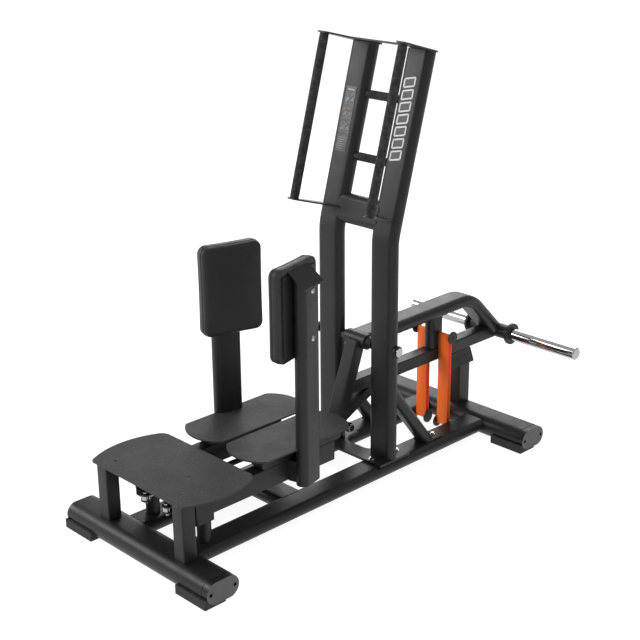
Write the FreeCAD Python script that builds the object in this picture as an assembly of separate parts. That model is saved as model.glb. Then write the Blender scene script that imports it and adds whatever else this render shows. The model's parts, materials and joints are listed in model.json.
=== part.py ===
import FreeCAD, Part
import math
import os

os.makedirs("parts", exist_ok=True)
V = FreeCAD.Vector

# Standing hip machine, plate loaded. Millimetres, +Z up, +Y from the step towards the
# weight horns, +X to the user's right. The drawing datum is the front crossbar's axis;
# everything is moved back by Y_CENTRE on export, so the origin is below the middle.

# ---- driving dimensions ----
Y_CENTRE = 889.0
WHEELBASE = 1595.0          # front crossbar axis to rear crossbar axis
BAR_WIDE = 136.0            # crossbar section, flat oval
BAR_HIGH = 80.0
BAR_WALL = 4.0
FOOT_PAD = 5.0              # rubber under a crossbar
FRONT_HALF = 384.0          # half length of each crossbar over its end caps
REAR_HALF = 395.0
CAP_LONG = 27.0
TUBE_WIDE = 120.0           # main frame tube, flat oval
TUBE_THICK = 50.0
TUBE_WALL = 3.0
RAIL_WIDE = 114.0
RAIL_X = 140.0              # rails and arm pivots
RAIL_Z = 50.0
UPRIGHT_X, UPRIGHT_Y = 135.0, 1008.0
UPRIGHT_WIDE = 115.0
BEND_Z = 936.0
BEND_RADIUS = 220.0
LEAN = 15.5                 # degrees, backward lean above the bend
UPRIGHT_TOP = 673.0         # distance along the lean from the bend to the cut end
BASE_PLATE_T = 10.0
HANDLE_X = 189.0
HANDLE_OUT = 165.0          # handle axis in front of the upright axis
HANDLE_D = 34.0
STEP_Z = 300.0
STEP_T = 5.0
PIVOT_Y = 127.0             # vertical arm pivots
AXLE_R = 15.0
RUN_GAP = 0.05              # radial clearance of a running fit
ARM_X0, ARM_X1 = 112.0, 168.0
ARM_Z0, ARM_Z1 = 178.0, 256.0
ARM_Y1 = 715.0
PLATE_Z = 315.0             # top of the foot plates
TOE_IN = 14.0               # degrees, pads and their posts
POST_X, POST_Y = 211.0, 542.0
PAD_Z = 799.0
PAD_W, PAD_H, PAD_T = 235.0, 332.0, 50.0
LEVER_Y, LEVER_Z = 1012.0, 518.0
LEVER_TUBE_WIDE = 110.0
BEAM_HALF = 28.0            # half width of the lower lever tube
BEAM_Z0, BEAM_Z1 = 320.0, 370.0
HORN_Y, HORN_Z = 1810.0, 350.0
HORN_R = 25.0
HORN_TIP = 430.0
PEG_Y, PEG_Z = 1447.0, 428.0
PEG_R = 5.0
LEVER_TURN_Y, LEVER_TURN_Z = 1628.0, 532.0      # where the upper lever tube turns down
STRAP_LOW_Z = 52.0
STRAP_X0, STRAP_X1 = 29.5, 82.5
CRANK_X, CRANK_Y, CRANK_Z = 58.0, 40.0, 197.0
ROD_PIN_X, ROD_PIN_Y, ROD_PIN_Z = 30.0, 925.0, 195.0
ROD_PIN_R = 8.0
ROD_SLACK = 2.4             # radial clearance where the rod linkage is left open
CRANK_TILT = 0.0257         # inward slope of the crank bolts, lets the rods follow the lever down
SIDES = (("left", -1.0), ("right", 1.0))


# ---- shared shapes ----
def save(name, *solids):
    """Write the solids as one node, moved so that the origin is below the middle."""
    shape = Part.Compound([s.copy() for s in solids]) if len(solids) > 1 else solids[0].copy()
    shape.translate(V(0, -Y_CENTRE, 0))
    shape.exportStep("parts/%s.step" % name)


def stadium(wide, thick):
    """Flat oval face in the XY plane, wide along X, centred on the origin."""
    r = thick / 2
    a = wide / 2 - r
    edges = [
        Part.makeLine(V(-a, -r, 0), V(a, -r, 0)),
        Part.Arc(V(a, -r, 0), V(a + r, 0, 0), V(a, r, 0)).toShape(),
        Part.makeLine(V(a, r, 0), V(-a, r, 0)),
        Part.Arc(V(-a, r, 0), V(-a - r, 0, 0), V(-a, -r, 0)).toShape(),
    ]
    return Part.Face(Part.Wire(edges))


def rounded_rect(wide, high, r):
    """Rectangle face with rounded corners in the XY plane, centred on the origin."""
    x, y, k = wide / 2, high / 2, r * (1 - math.sqrt(0.5))
    edges = [
        Part.makeLine(V(-x + r, -y, 0), V(x - r, -y, 0)),
        Part.Arc(V(x - r, -y, 0), V(x - k, -y + k, 0), V(x, -y + r, 0)).toShape(),
        Part.makeLine(V(x, -y + r, 0), V(x, y - r, 0)),
        Part.Arc(V(x, y - r, 0), V(x - k, y - k, 0), V(x - r, y, 0)).toShape(),
        Part.makeLine(V(x - r, y, 0), V(-x + r, y, 0)),
        Part.Arc(V(-x + r, y, 0), V(-x + k, y - k, 0), V(-x, y - r, 0)).toShape(),
        Part.makeLine(V(-x, y - r, 0), V(-x, -y + r, 0)),
        Part.Arc(V(-x, -y + r, 0), V(-x + k, -y + k, 0), V(-x + r, -y, 0)).toShape(),
    ]
    return Part.Face(Part.Wire(edges))


def placed(shape, origin, x_dir, z_dir):
    """Copy of a shape drawn in local axes, with local X along x_dir and local Z along z_dir."""
    z = V(*z_dir).normalize()
    y = z.cross(V(*x_dir)).normalize()
    x = y.cross(z)
    o = V(*origin)
    m = FreeCAD.Matrix(x.x, y.x, z.x, o.x, x.y, y.y, z.y, o.y, x.z, y.z, z.z, o.z, 0, 0, 0, 1)
    out = shape.copy()
    out.Placement = FreeCAD.Placement(m)
    return out


def prism(face, length, origin, x_dir, z_dir):
    """Extrude a local XY face along local Z from origin."""
    return placed(face.extrude(V(0, 0, length)), origin, x_dir, z_dir)


def between(face_maker, wide, thick, start, end, x_dir):
    """Prism of a section from start to end, its wide side along x_dir."""
    d = V(*end) - V(*start)
    return prism(face_maker(wide, thick), d.Length, start, x_dir, (d.x, d.y, d.z))


def hollow(face_maker, wide, thick, wall, start, end, x_dir):
    """Tube from start to end."""
    outer = between(face_maker, wide, thick, start, end, x_dir)
    inner = between(face_maker, wide - 2 * wall, thick - 2 * wall, start, end, x_dir)
    return outer.cut(inner)


def square_section(wide, high):
    """Rectangular tube section with the small corner radius of a rolled tube."""
    return rounded_rect(wide, high, 5.0)


def box(x0, x1, y0, y1, z0, z1):
    """Box between two corners."""
    return Part.makeBox(x1 - x0, y1 - y0, z1 - z0, V(x0, y0, z0))


def rod(radius, start, end):
    """Round bar from start to end."""
    d = V(*end) - V(*start)
    return Part.makeCylinder(radius, d.Length, V(*start), d)


def along_x(radius, x0, x1, y, z):
    """Round bar parallel to X."""
    return rod(radius, (x0, y, z), (x1, y, z))


def fused(first, *others):
    """Union of shapes with the seams between their faces removed."""
    out = first
    for other in others:
        out = out.fuse(other)
    return out.removeSplitter()


def solid_of(shape):
    """The largest solid of a cut or union that should have only one."""
    return max(shape.Solids, key=lambda s: s.Volume)


def hex_bolt(radius, centre, direction, head=6.0):
    """Hexagon head on a washer, standing on a surface."""
    r = radius * 1.8
    corners = [V(r * math.cos(math.radians(60 * k)), r * math.sin(math.radians(60 * k)), 0) for k in range(7)]
    nut = Part.Face(Part.makePolygon(corners)).extrude(V(0, 0, head))
    nut.translate(V(0, 0, 1.6))
    washer = Part.makeCylinder(radius * 2.2, 1.6)
    side = (1, 0, 0) if abs(direction[0]) < 0.9 else (0, 1, 0)
    return placed(nut.fuse(washer), centre, side, direction)


def dome_bolt(radius, centre, direction):
    """Low domed bolt head with a hexagon socket."""
    height = radius * 0.62
    ball_r = (radius * radius + height * height) / (2 * height)
    ball = Part.makeSphere(ball_r, V(0, 0, height - ball_r))
    head = ball.common(Part.makeCylinder(radius, height + 1))
    s = radius * 0.42
    corners = [V(s * math.cos(math.radians(60 * k)), s * math.sin(math.radians(60 * k)), 0) for k in range(7)]
    socket = Part.Face(Part.makePolygon(corners)).extrude(V(0, 0, height))
    socket.translate(V(0, 0, height * 0.45))
    side = (1, 0, 0) if abs(direction[0]) < 0.9 else (0, 1, 0)
    return placed(head.cut(socket), centre, side, direction)


# ---- the leaning top of the uprights: s runs up the lean, n forward out of it ----
LEAN_SIN = math.sin(math.radians(LEAN))
LEAN_COS = math.cos(math.radians(LEAN))
UP = (0.0, LEAN_SIN, LEAN_COS)
OUT = (0.0, -LEAN_COS, LEAN_SIN)


def leaned(x, s, n):
    """Point at s along the leaning upright axis and n in front of it."""
    return (x, UPRIGHT_Y + s * UP[1] + n * OUT[1], BEND_Z + s * UP[2] + n * OUT[2])


def leaned_plate(points, s0, thick):
    """Flat plate square to the leaning uprights, outlined by (x, n) points."""
    outline = Part.makePolygon([V(*leaned(x, s0, n)) for x, n in points + points[:1]])
    return Part.Face(outline).extrude(V(*UP) * thick)


# ---- base frame ----
BAR_Z = FOOT_PAD + BAR_HIGH / 2
CROSSBARS = ((0.0, FRONT_HALF), (WHEELBASE, REAR_HALF))


def crossbar_envelope(y, half):
    """Outer shape of a crossbar without its hollow."""
    return between(stadium, BAR_WIDE, BAR_HIGH, (-half, y, BAR_Z), (half, y, BAR_Z), (0, 1, 0))


def make_crossbars():
    """Two floor crossbars, their end caps and rubber feet."""
    tubes, caps, feet = [], [], []
    for y, half in CROSSBARS:
        end = half - CAP_LONG
        span = (-end, y, BAR_Z), (end, y, BAR_Z)
        tubes.append(hollow(stadium, BAR_WIDE, BAR_HIGH, BAR_WALL, *span, (0, 1, 0)))
        for side in (-1, 1):
            lip_w, lip_h = BAR_WIDE - 1.6, BAR_HIGH - 1.6
            cap = between(stadium, lip_w, lip_h, (side * end, y, BAR_Z), (side * half, y, BAR_Z), (0, 1, 0))
            plug_w = BAR_WIDE - 2 * BAR_WALL - 0.6
            plug_h = BAR_HIGH - 2 * BAR_WALL - 0.6
            span = (side * (end - 22), y, BAR_Z), (side * end, y, BAR_Z)
            plug = between(stadium, plug_w, plug_h, *span, (0, 1, 0))
            cap = fused(cap, plug)
            for dy in (-50.0, 50.0):
                cap = cap.cut(along_x(6.5, side * (half - 8), side * (half + 1), y + dy, BAR_Z))
            caps.append(solid_of(cap))
            x0, x1 = sorted((side * (half - 150), side * half))
            block = box(x0, x1, y - 76, y + 10, 0, 33)
            feet.append(solid_of(block.cut(crossbar_envelope(y, half + 1))))
    save("crossbars", *tubes)
    save("end_caps", *caps)
    save("rubber_feet", *feet)


def rail_envelope(side):
    """Outer shape of a side rail."""
    x = side * RAIL_X
    return between(stadium, RAIL_WIDE, TUBE_THICK, (x, 0, RAIL_Z), (x, WHEELBASE, RAIL_Z), (1, 0, 0))


def make_rails():
    """Two side rails and the crossmember between them under the pad posts."""
    ends = [crossbar_envelope(y, half) for y, half in CROSSBARS]
    for name, side in SIDES:
        x = side * RAIL_X
        span = (x, 0, RAIL_Z), (x, WHEELBASE, RAIL_Z)
        tube = hollow(stadium, RAIL_WIDE, TUBE_THICK, TUBE_WALL, *span, (1, 0, 0))
        for end in ends:
            tube = tube.cut(end)
        save("side_rail_" + name, solid_of(tube))
    y = 555.0
    span = (-RAIL_X, y, RAIL_Z), (RAIL_X, y, RAIL_Z)
    member = hollow(stadium, TUBE_WIDE, TUBE_THICK, TUBE_WALL, *span, (0, 1, 0))
    for _, side in SIDES:
        member = member.cut(rail_envelope(side))
    save("post_crossmember", solid_of(member))


def make_base_plate():
    """Bolted plate across the rails that carries both uprights."""
    z0 = RAIL_Z + TUBE_THICK / 2
    y0, y_mid, y1, r = 932.0, 1003.0, 1092.0, 45.0
    x_in, x_out = UPRIGHT_X - UPRIGHT_WIDE / 2, 192.0
    plate = box(-x_out, x_out, y0, y_mid, z0, z0 + BASE_PLATE_T)
    for _, side in SIDES:
        x0, x1 = sorted((side * x_in, side * x_out))
        plate = plate.fuse(box(x0, x1, y_mid, y1, z0, z0 + BASE_PLATE_T))
        x2, x3 = sorted((side * (x_in - r), side * x_in))
        web = box(x2, x3, y_mid, y_mid + r, z0, z0 + BASE_PLATE_T)
        corner = Part.makeCylinder(r, BASE_PLATE_T, V(side * (x_in - r), y_mid + r, z0))
        plate = plate.fuse(web.cut(corner))
    save("upright_base_plate", solid_of(plate.removeSplitter()))


# ---- uprights, grips and handles ----
def upright_outer(side, wide, thick):
    """Vertical tube, bend and leaning tube of one upright, as a solid of the given section."""
    x = side * UPRIGHT_X
    start_z = RAIL_Z + TUBE_THICK / 2 + BASE_PLATE_T
    tangent = BEND_RADIUS * math.tan(math.radians(LEAN / 2))
    low = between(stadium, wide, thick, (x, UPRIGHT_Y, start_z), (x, UPRIGHT_Y, BEND_Z - tangent), (1, 0, 0))
    section = placed(stadium(wide, thick), (x, UPRIGHT_Y, BEND_Z - tangent), (1, 0, 0), (0, 0, 1))
    centre = V(x, UPRIGHT_Y + BEND_RADIUS, BEND_Z - tangent)
    bend = section.revolve(centre, V(-1, 0, 0), LEAN)
    high = between(stadium, wide, thick, leaned(x, tangent, 0), leaned(x, UPRIGHT_TOP, 0), (1, 0, 0))
    return low.fuse(bend).fuse(high)


def make_uprights():
    """Two bent uprights with a hole for the lever axle, and the pieces between them."""
    hole = along_x(AXLE_R, -UPRIGHT_X * 2, UPRIGHT_X * 2, LEVER_Y, LEVER_Z)
    envelopes = []
    for name, side in SIDES:
        outer = upright_outer(side, UPRIGHT_WIDE, TUBE_THICK)
        inner = upright_outer(side, UPRIGHT_WIDE - 2 * TUBE_WALL, TUBE_THICK - 2 * TUBE_WALL)
        envelopes.append(outer)
        save("upright_" + name, solid_of(outer.cut(inner).cut(hole)))
    member_s = 75.0
    member = hollow(stadium, 110.0, TUBE_THICK, TUBE_WALL, leaned(-UPRIGHT_X, member_s, 0),
                    leaned(UPRIGHT_X, member_s, 0), UP)
    for outer in envelopes:
        member = member.cut(outer)
    save("upright_crossmember", solid_of(member))
    grips = []
    for s in (266.0, 492.0):
        grip = rod(16.0, leaned(-UPRIGHT_X, s, 0), leaned(UPRIGHT_X, s, 0))
        for outer in envelopes:
            grip = grip.cut(outer)
        grips.append(solid_of(grip))
    save("cross_grips", *grips)


def make_handles():
    """Long grips in front of the uprights and the plates that hold them."""
    low_s, plate_t = 70.0, 6.0
    edge = HANDLE_OUT + HANDLE_D / 2
    grips, bottoms = [], []
    top = leaned_plate([(-145, 60), (145, 60), (145, 92), (-145, 92)], UPRIGHT_TOP, plate_t)
    for _, side in SIDES:
        x = side * HANDLE_X
        start, end = leaned(x, low_s + plate_t, HANDLE_OUT), leaned(x, UPRIGHT_TOP, HANDLE_OUT)
        grips.append(rod(HANDLE_D / 2, start, end))
        inner, outer = side * (HANDLE_X - 18), side * (HANDLE_X + 18)
        arm = [(inner, edge), (outer, edge), (side * 178, 25), (side * 90, 25)]
        bottoms.append(leaned_plate(arm, low_s, plate_t))
        arm = [(inner, edge), (outer, edge), (side * 186, -25), (side * 80, -25)]
        top = top.fuse(leaned_plate(arm, UPRIGHT_TOP, plate_t))
    save("handle_grips", *grips)
    save("handle_bottom_brackets", *bottoms)
    save("handle_top_bracket", solid_of(top.removeSplitter()))


def make_placard():
    """Blank instruction placard on the left upright's leaning front face."""
    x0, x1, s0, s1 = -166.0, -114.0, 270.0, 510.0
    face_n, thick = TUBE_THICK / 2, 0.8
    corners = [leaned(x, s, face_n) for x, s in ((x0, s0), (x1, s0), (x1, s1), (x0, s1), (x0, s0))]
    plate = Part.Face(Part.makePolygon([V(*c) for c in corners])).extrude(V(*OUT) * thick)
    save("instruction_placard", plate)


# ---- step ----
def arc_sided_plate(x_mid, half_w, y0, y1, bulge, corners, z0, thick, axis):
    """Plate with two straight sides and two bulged ends, its corners rounded.

    With axis "x" the bulged ends face along X, with axis "y" along Y. The two corner
    radii are for the corners at y0 and at y1.
    """
    if axis == "x":
        ends = [(x_mid - half_w, y0), (x_mid + half_w, y0), (x_mid + half_w, y1), (x_mid - half_w, y1)]
        mids = {1: (x_mid + half_w + bulge, (y0 + y1) / 2), 3: (x_mid - half_w - bulge, (y0 + y1) / 2)}
    else:
        ends = [(x_mid - half_w, y0), (x_mid + half_w, y0), (x_mid + half_w, y1), (x_mid - half_w, y1)]
        mids = {0: (x_mid, y0 - bulge), 2: (x_mid, y1 + bulge)}
    edges = []
    for k in range(4):
        a, b = V(*ends[k], z0), V(*ends[(k + 1) % 4], z0)
        if k in mids:
            edges.append(Part.Arc(a, V(*mids[k], z0), b).toShape())
        else:
            edges.append(Part.makeLine(a, b))
    plate = Part.Face(Part.Wire(edges)).extrude(V(0, 0, thick))
    for radius, y in zip(corners, (y0, y1)):
        upright = [e for e in plate.Edges
                   if abs(e.tangentAt(e.FirstParameter).z) > 0.99 and abs(e.CenterOfMass.y - y) < 1]
        plate = plate.makeFillet(radius, upright)
    return plate


def make_step():
    """Step plate on two legs, with the bars that stiffen it."""
    leg_x, leg_y, leg = 205.0, -5.0, 54.0
    under = STEP_Z - STEP_T
    front = crossbar_envelope(0.0, FRONT_HALF)
    legs = []
    for _, side in SIDES:
        span = (side * leg_x, leg_y, BAR_Z), (side * leg_x, leg_y, under)
        tube = hollow(square_section, leg, leg, 3.0, *span, (1, 0, 0))
        legs.append(solid_of(tube.cut(front)))
    save("step_legs", *legs)
    beam = box(-leg_x, leg_x, 90, 120, under - 25, under)
    for x in (-leg_x, leg_x):
        beam = beam.fuse(box(x - 15, x + 15, leg_y + leg / 2, 225, under - 25, under))
    save("step_frame", solid_of(beam.removeSplitter()))
    plate = arc_sided_plate(0.0, 238.0, -47.0, 271.0, 45.0, (22.0, 40.0), under, STEP_T, "x")
    holes = [(176.0, 9.0), (-176.0, 9.0), (92.0, 112.0), (-92.0, 112.0)]
    screws = []
    for x, y in holes:
        plate = plate.cut(Part.makeCylinder(6.0, STEP_T + 2, V(x, y, under - 1)))
        screws.append(Part.makeCylinder(5.0, STEP_T - 1.2, V(x, y, under)))
    save("step_plate", solid_of(plate))
    save("step_screws", *screws)


# ---- fixed pivots, braces and stop ----
def make_pivot_posts():
    """Vertical posts on the rails with the shafts that the arms turn on."""
    posts = []
    for _, side in SIDES:
        base = V(side * RAIL_X, PIVOT_Y, RAIL_Z + TUBE_THICK / 2)
        foot = Part.makeCylinder(25.0, 79.5, base)
        shaft = Part.makeCylinder(AXLE_R, ARM_Z1 + 1 - base.z, base)
        cap = Part.makeCylinder(21.0, 6.0, V(base.x, base.y, ARM_Z1 + 0.5))
        posts.append(solid_of(fused(foot, shaft, cap)))
    save("pivot_posts", *posts)


def make_braces():
    """Diagonal braces from the back of the uprights to the rails, with foot plates."""
    braces = []
    for _, side in SIDES:
        x = side * RAIL_X
        tube = hollow(stadium, 66.0, 48.0, 2.5, (x, 1013.0, 367.5), (x, 1268.0, 36.0), (1, 0, 0))
        tube = tube.cut(upright_outer(side, UPRIGHT_WIDE, TUBE_THICK))
        tube = solid_of(tube.cut(box(x - 80, x + 80, 1100, 1400, 0, RAIL_Z + TUBE_THICK / 2 + 6)))
        plate = box(x - 33, x + 33, 1212, 1302, RAIL_Z + TUBE_THICK / 2, RAIL_Z + TUBE_THICK / 2 + 6)
        braces.append(solid_of(tube.fuse(plate)))
    save("diagonal_braces", *braces)


def make_bolts():
    """Hexagon bolts of the upright base plate and the brace feet."""
    bolts = []
    plate_top = RAIL_Z + TUBE_THICK / 2 + BASE_PLATE_T
    foot_top = RAIL_Z + TUBE_THICK / 2 + 6
    for _, side in SIDES:
        for x, y in ((130.0, 952.0), (140.0, 1070.0)):
            bolts.append(hex_bolt(6.0, (side * x, y, plate_top), (0, 0, 1)))
        bolts.append(hex_bolt(4.0, (side * RAIL_X, 1285.0, foot_top), (0, 0, 1)))
    save("frame_bolts", *bolts)


def make_stop():
    """Post on the rear crossbar and the rubber stop that the lever rests on."""
    y0, y1, top = 1580.0, 1646.0, 250.0
    y_mid = (y0 + y1) / 2
    post = hollow(square_section, 50.0, y1 - y0, 2.5, (0, y_mid, BAR_Z), (0, y_mid, top), (1, 0, 0))
    post = post.cut(crossbar_envelope(WHEELBASE, REAR_HALF))
    save("rear_post", solid_of(post))
    side = [(1505.0, top), (1668.0, top), (1642.0, BEAM_Z0 - 0.3), (1514.0, BEAM_Z0 - 0.3)]
    outline = Part.makePolygon([V(-27, y, z) for y, z in side + side[:1]])
    block = Part.Face(outline).extrude(V(54, 0, 0))
    across = [e for e in block.Edges if abs(e.tangentAt(e.FirstParameter).x) > 0.99]
    save("stop_block", block.makeFillet(5.0, across))


def make_axle():
    """Fixed lever axle through both uprights with a head at each end."""
    outer = UPRIGHT_X + UPRIGHT_WIDE / 2
    axle = along_x(AXLE_R, -outer - 2, outer + 2, LEVER_Y, LEVER_Z)
    for _, side in SIDES:
        collar = along_x(23.0, side * outer, side * (outer + 8), LEVER_Y, LEVER_Z)
        disc = along_x(17.0, side * (outer + 8), side * (outer + 15), LEVER_Y, LEVER_Z)
        axle = fused(axle, collar, disc)
    save("lever_axle", axle)


# ---- weight lever ----
def lever_path_tube(wide, thick):
    """Upper lever tube as a solid: rising a little from the axle, then bent down to the horns."""
    start, turn, hub = V(0, LEVER_Y, LEVER_Z + 4), V(0, LEVER_TURN_Y, LEVER_TURN_Z), V(0, HORN_Y, HORN_Z)
    first, second, radius = (turn - start).normalize(), (hub - turn).normalize(), 150.0
    angle = math.acos(first.dot(second))
    tangent = radius * math.tan(angle / 2)
    p, q = turn - first * tangent, turn + second * tangent
    rise = between(stadium, wide, thick, tuple(start), tuple(p), (1, 0, 0))
    section = placed(stadium(wide, thick), tuple(p), (1, 0, 0), tuple(first))
    centre = p + V(0, first.z, -first.y) * radius
    bend = section.revolve(centre, V(-1, 0, 0), math.degrees(angle))
    down = between(stadium, wide, thick, tuple(q), tuple(hub), (1, 0, 0))
    return rise.fuse(bend).fuse(down)


def above_lower_tube():
    """Block over the sloping underside of the upper tube, to mitre the lower tube against it."""
    drop = math.atan2(LEVER_TURN_Z - HORN_Z, HORN_Y - LEVER_TURN_Y)
    y0, y1 = HORN_Y - 90, HORN_Y + 20
    z0, z1 = (HORN_Z + (HORN_Y - y) * math.tan(drop) - TUBE_THICK / 2 / math.cos(drop) for y in (y0, y1))
    outline = [V(-40, y0, z0), V(-40, y1, z1), V(-40, y1, z0 + 20), V(-40, y0, z0 + 20), V(-40, y0, z0)]
    return Part.Face(Part.makePolygon(outline)).extrude(V(80, 0, 0))


def drop_arm_envelope():
    """Leaning arm that hangs from the sleeve."""
    return between(square_section, 58.0, 50.0, (0, 997.0, LEVER_Z), (0, 897.5, 244.5), (1, 0, 0))


def make_lever():
    """The weight lever: sleeve, two long tubes, strut, drop arm and brace."""
    bore = along_x(AXLE_R + RUN_GAP, -RAIL_X, RAIL_X, LEVER_Y, LEVER_Z)
    sleeve_env = along_x(30.0, -50, 50, LEVER_Y, LEVER_Z)
    sleeve = sleeve_env
    cone_long = UPRIGHT_X - UPRIGHT_WIDE / 2 - 1.5 - 50
    for _, side in SIDES:
        cone = Part.makeCone(24.0, 19.0, cone_long, V(side * 50, LEVER_Y, LEVER_Z), V(side, 0, 0))
        sleeve = sleeve.fuse(cone)
    save("lever_sleeve", solid_of(sleeve.cut(bore)))

    hub_env = along_x(30.0, -100, 100, HORN_Y, HORN_Z)
    upper_env = lever_path_tube(LEVER_TUBE_WIDE, TUBE_THICK)
    upper = upper_env.cut(lever_path_tube(LEVER_TUBE_WIDE - 2 * TUBE_WALL, TUBE_THICK - 2 * TUBE_WALL))
    upper = upper.cut(along_x(30.0, -60, 60, LEVER_Y, LEVER_Z)).cut(hub_env)
    save("lever_upper_tube", solid_of(upper))

    arm_env = drop_arm_envelope()
    beam_z = (BEAM_Z0 + BEAM_Z1) / 2
    span = (0, 930.0, beam_z), (0, HORN_Y, beam_z)
    beam_env = between(square_section, 2 * BEAM_HALF, BEAM_Z1 - BEAM_Z0, *span, (1, 0, 0))
    beam = hollow(square_section, 2 * BEAM_HALF, BEAM_Z1 - BEAM_Z0, 3.0, *span, (1, 0, 0))
    beam = solid_of(beam.cut(arm_env).cut(above_lower_tube()).cut(hub_env))
    save("lever_lower_tube", beam)

    peg = along_x(PEG_R, -91, 91, PEG_Y, PEG_Z)
    strut = hollow(stadium, 80.0, 46.0, 3.0, (0, 1440.0, BEAM_Z1), (0, 1440.0, LEVER_Z), (0, 1, 0))
    save("lever_strut", solid_of(strut.cut(upper_env).cut(peg)))
    for _, side in SIDES:
        disc = along_x(25.0, side * 91, side * 96, PEG_Y, PEG_Z)
        dimple = along_x(4.0, side * 92, side * 97, PEG_Y, PEG_Z)
        peg = fused(peg, disc.cut(dimple))
    save("strap_pegs", solid_of(peg))

    arm = hollow(square_section, 58.0, 50.0, 3.0, (0, 997.0, LEVER_Z), (0, 897.5, 244.5), (1, 0, 0))
    arm = solid_of(arm.cut(sleeve_env))
    cap = between(square_section, 58.0, 50.0, (0, 897.5, 244.5), (0, 894.1, 235.1), (1, 0, 0))
    side = [(880.0, 246.0), (924.0, 232.0), (949.0, 195.0), (925.0, 171.0), (901.0, 195.0)]
    lug = Part.Face(Part.makePolygon([V(-7, y, z) for y, z in side + side[:1]])).extrude(V(14, 0, 0))
    pin_hole = along_x(ROD_PIN_R, -60, 60, ROD_PIN_Y, ROD_PIN_Z)
    save("lever_drop_arm", solid_of(arm.fuse(cap).fuse(lug).cut(pin_hole)))

    brace = hollow(square_section, 50.0, 40.0, 3.0, (0, 905.0, 232.0), (0, 1112.0, 328.0), (1, 0, 0))
    save("lever_drop_brace", solid_of(brace.cut(arm_env).cut(beam_env).cut(cap).cut(lug)))

    pin = along_x(ROD_PIN_R, -46, 46, ROD_PIN_Y, ROD_PIN_Z)
    for _, side in SIDES:
        pin = fused(pin, along_x(13.0, side * 44, side * 51, ROD_PIN_Y, ROD_PIN_Z))
    save("lever_rod_pin", pin)


def make_horns():
    """Hub across the rear of the lever, its two collars and the two plate horns."""
    hub = along_x(30.0, -100, 100, HORN_Y, HORN_Z)
    horns = []
    for _, side in SIDES:
        hub = fused(hub, along_x(44.0, side * 100, side * 110, HORN_Y, HORN_Z))
        tip = V(side * 110, HORN_Y, HORN_Z)
        bar = Part.makeCylinder(HORN_R, HORN_TIP - 113, tip, V(side, 0, 0))
        bevel = Part.makeCone(HORN_R, HORN_R - 3, 3, V(side * (HORN_TIP - 3), HORN_Y, HORN_Z), V(side, 0, 0))
        horns.append(fused(bar, bevel))
    save("horn_hub", hub)
    save("weight_horns", *horns)


def make_straps():
    """Elastic loops between the lever's pegs and two pegs on the inner sides of the rails."""
    pegs = []
    inner, half = PEG_R + 0.4, PEG_R + 4.5
    length = PEG_Z - STRAP_LOW_Z
    for name, side in SIDES:
        middle = (side * STRAP_X0, PEG_Y, (PEG_Z + STRAP_LOW_Z) / 2)
        face = stadium(length + 2 * half, 2 * half)
        body = prism(face, STRAP_X1 - STRAP_X0, middle, (0, 0, 1), (side, 0, 0))
        void = stadium(length + 2 * inner, 2 * inner)
        body = body.cut(prism(void, STRAP_X1 - STRAP_X0, middle, (0, 0, 1), (side, 0, 0)))
        save("strap_" + name, solid_of(body))
        peg = along_x(PEG_R, side * 26, side * 100, PEG_Y, STRAP_LOW_Z)
        peg = fused(peg, along_x(25.0, side * 23.5, side * 28.5, PEG_Y, STRAP_LOW_Z))
        pegs.append(solid_of(peg.cut(rail_envelope(side))))
    save("lower_strap_pegs", *pegs)


# ---- push rods ----
def crank_line(side, radius, low, high):
    """Round bar on the sloping axis of a crank bolt, between two distances from its middle."""
    slope = V(-side * CRANK_TILT, 0, 1).normalize()
    middle = V(side * CRANK_X, CRANK_Y, CRANK_Z)
    return Part.makeCylinder(radius, high - low, middle + slope * low, slope)


def make_rods():
    """Rods from the arms' inner cranks to the lever's drop arm, with eyes at both ends."""
    for name, side in SIDES:
        start = V(side * CRANK_X, CRANK_Y, CRANK_Z)
        end = V(side * ROD_PIN_X, ROD_PIN_Y, ROD_PIN_Z)
        d = (end - start).normalize()
        a, b = start + d * 44, end - d * 46
        save("push_rod_" + name, rod(10.0, tuple(a), tuple(b)))
        eye = Part.makeCylinder(16.0, 14.0, start - V(0, 0, 7))
        eye = eye.fuse(rod(7.0, tuple(start + d * 8), tuple(a)))
        eye = eye.cut(crank_line(side, 6.0 + RUN_GAP, -20, 20))
        hole_r = ROD_PIN_R + ROD_SLACK
        far = Part.makeCylinder(hole_r + 8, 14.0, end - V(7, 0, 0), V(1, 0, 0))
        far = far.fuse(rod(7.0, tuple(b), tuple(end - d * 14)))
        far = far.cut(Part.makeCylinder(hole_r, 60.0, end - V(30, 0, 0), V(1, 0, 0)))
        save("rod_ends_" + name, solid_of(eye.removeSplitter()), solid_of(far.removeSplitter()))


# ---- arms ----
TOE_SIN = math.sin(math.radians(TOE_IN))
TOE_COS = math.cos(math.radians(TOE_IN))


def toed(side, out, along, z):
    """Point out from and along the toed-in pad post, whose axis is at out 0, along 0."""
    x = POST_X + out * TOE_COS - along * TOE_SIN
    y = POST_Y + out * TOE_SIN + along * TOE_COS
    return (side * x, y, z)


def toed_box(side, out0, out1, along0, along1, z0, z1):
    """Box square to the toed-in pad post."""
    corners = ((out0, along0), (out1, along0), (out1, along1), (out0, along1), (out0, along0))
    wire = Part.makePolygon([V(*toed(side, o, a, z0)) for o, a in corners])
    return Part.Face(wire).extrude(V(0, 0, z1 - z0))


def post_envelope(side, z0, z1):
    """Outer shape of a pad post."""
    along = (-side * TOE_SIN, TOE_COS, 0)
    return between(stadium, 110.0, TUBE_THICK, toed(side, 0, 0, z0), toed(side, 0, 0, z1), along)


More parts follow.
